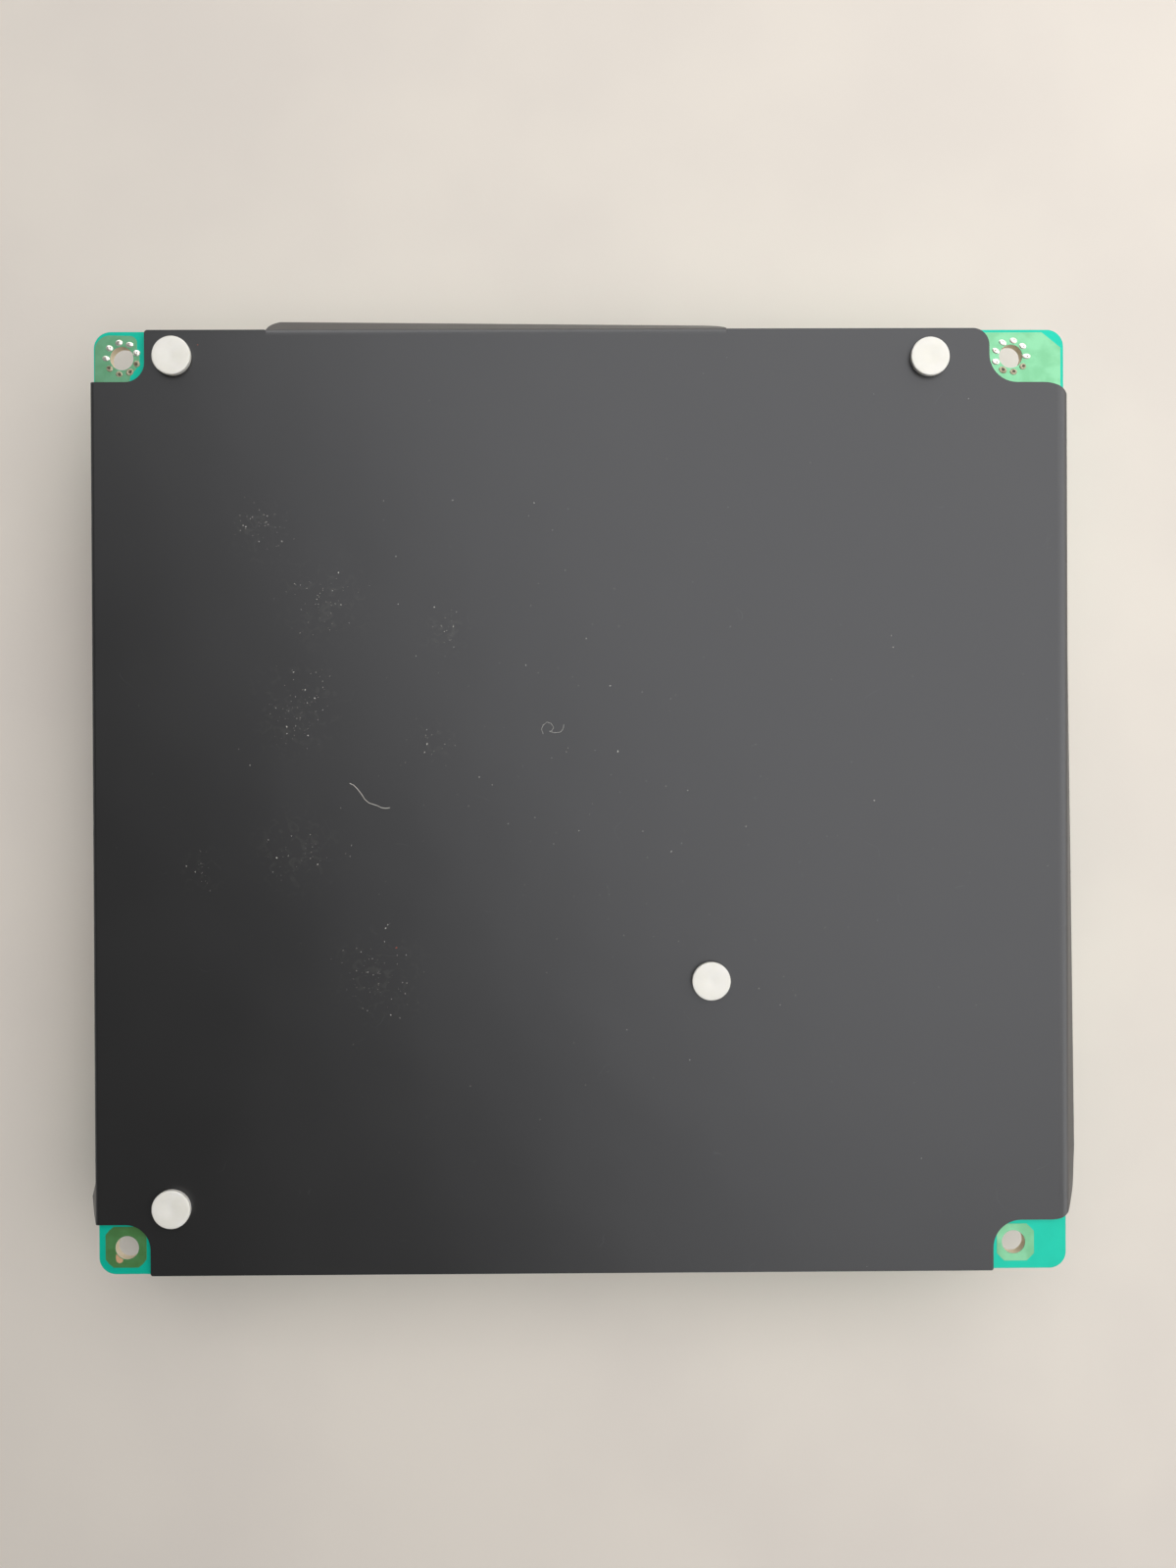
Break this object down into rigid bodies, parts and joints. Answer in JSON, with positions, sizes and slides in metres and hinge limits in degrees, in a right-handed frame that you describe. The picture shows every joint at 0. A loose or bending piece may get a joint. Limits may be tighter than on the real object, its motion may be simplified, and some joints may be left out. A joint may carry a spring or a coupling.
{
  "type": "power supply board",
  "caption": "Square television power supply board with through-hole parts underneath and a folded black insulating sheet snap-riveted over its solder side.",
  "frame": {"origin": "centre of the four screw holes, on the solder face of the board, which faces up", "axes": "+Z out of the solder face, away from the components; +X to the right along the front edge; +Y to the rear edge"},
  "size_m": [0.1803, 0.1726, 0.0258],
  "materials": {
    "board_laminate": "glass-epoxy laminate under green solder mask",
    "sheet_black": "matte black polypropylene film",
    "nylon_white": "natural white nylon",
    "solder_tin": "bright solder",
    "tinned_metal": "tinned",
    "header_white": "moulded white nylon",
    "fuse_ceramic": "glazed tube with end caps",
    "varistor_blue": "dipped epoxy",
    "thermistor_green": "dipped epoxy",
    "film_yellow": "moulded box",
    "disc_ochre": "dipped ceramic disc",
    "film_grey": "moulded box",
    "ferrite": "ground ferrite",
    "enamel_copper": "enamelled copper wire",
    "bobbin_black": "moulded phenolic",
    "tape_yellow": "polyester tape",
    "can_sleeve": "shrink sleeve",
    "sink_aluminium": "extruded, as drawn",
    "package_black": "moulded epoxy",
    "clip_steel": "spring steel strip",
    "choke_sleeve": "shrink sleeve over a wound rod"
  },
  "bodies": {
    "root": {"boost_choke_bobbin": "bobbin_black", "boost_choke_core": "ferrite", "boost_choke_winding": "tape_yellow", "boost_diode": "package_black", "boost_switch": "package_black", "bridge_heat_sink": "sink_aluminium", "bridge_rectifier": "package_black", "bridge_switch_1": "package_black", "bridge_switch_2": "package_black", "bulk_capacitor_1": "can_sleeve", "bulk_capacitor_2": "can_sleeve", "ceramic_capacitor_1": "disc_ochre", "ceramic_capacitor_2": "disc_ochre", "circuit_board": "board_laminate", "driver_inductor": "ferrite", "fuse": "fuse_ceramic", "fuse_clips": "tinned_metal", "insulating_sheet": "sheet_black", "lamp_header": "header_white", "line_choke_1_base": "bobbin_black", "line_choke_1_core": "ferrite", "line_choke_1_winding": "enamel_copper", "line_choke_2_base": "bobbin_black", "line_choke_2_core": "ferrite", "line_choke_2_winding": "enamel_copper", "main_transformer_bobbin": "bobbin_black", "main_transformer_core": "ferrite", "main_transformer_winding": "tape_yellow", "mains_film_capacitor_1": "film_yellow", "mains_film_capacitor_2": "film_yellow", "mains_inlet": "header_white", "optocoupler_1": "package_black", "optocoupler_2": "package_black", "output_capacitor_1": "can_sleeve", "output_capacitor_2": "can_sleeve", "output_capacitor_3": "can_sleeve", "output_choke": "choke_sleeve", "output_header": "header_white", "output_rectifier_1": "package_black", "output_rectifier_2": "package_black", "package_clips": "clip_steel", "primary_heat_sink": "sink_aluminium", "resonant_capacitor": "film_grey", "secondary_heat_sink": "sink_aluminium", "snap_rivet_front_left": "nylon_white", "snap_rivet_middle": "nylon_white", "snap_rivet_rear_left": "nylon_white", "snap_rivet_rear_right": "nylon_white", "standby_controller": "package_black", "standby_transformer_bobbin": "bobbin_black", "standby_transformer_core": "ferrite", "standby_transformer_winding": "tape_yellow", "thermistor": "thermistor_green", "varistor": "varistor_blue", "via_solder": "solder_tin"}
  },
  "joints": []
}
